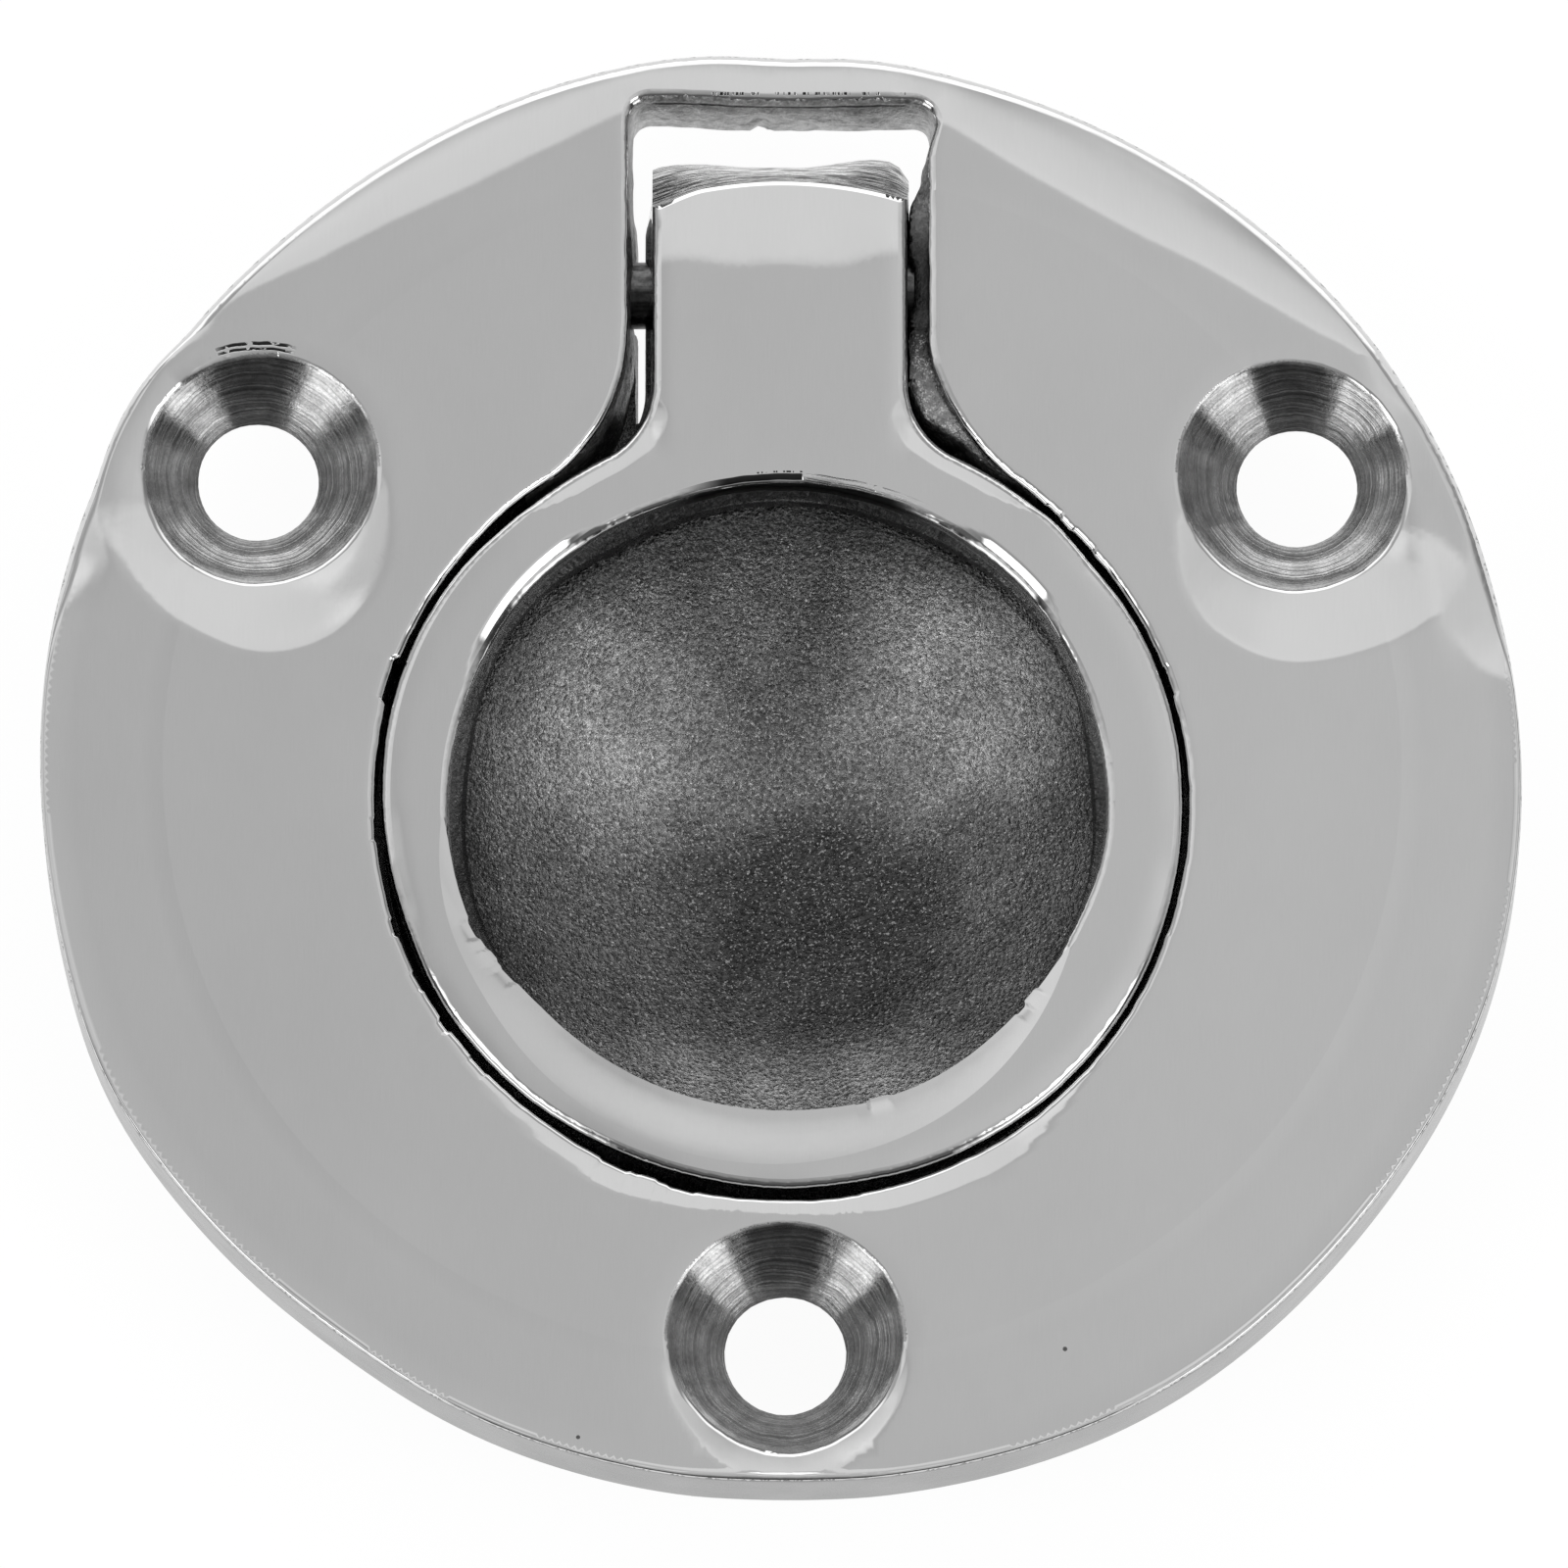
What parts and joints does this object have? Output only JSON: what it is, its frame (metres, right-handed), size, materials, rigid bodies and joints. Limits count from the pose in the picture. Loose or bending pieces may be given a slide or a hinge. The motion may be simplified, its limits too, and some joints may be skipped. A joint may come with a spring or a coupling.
{
  "type": "flush ring pull",
  "caption": "Round flush ring pull in polished stainless steel: a screw-down base with a finger cup and a hinged lifting ring.",
  "frame": {"origin": "centre of the screw circle on the flat back of the flange", "axes": "+Z out of the polished face, +Y from the middle toward the hinge, +X to the right seen from the face"},
  "size_m": [0.055, 0.055, 0.0099],
  "materials": {
    "base_steel": "cast stainless steel, face mirror polished, bowl and slot walls left as cast",
    "ring_steel": "cast stainless steel, mirror polished",
    "pin_steel": "drawn stainless steel rod"
  },
  "bodies": {
    "base": {"base_casting": "base_steel", "hinge_pin": "pin_steel"},
    "ring": {"pull_ring": "ring_steel"}
  },
  "joints": [
    {"name": "ring_lift", "type": "hinge", "parent": "base", "child": "ring", "pos_m": [0, 0.01863, 0.0011], "axis": [-1, 0, 0], "range_deg": [0, 109]}
  ]
}
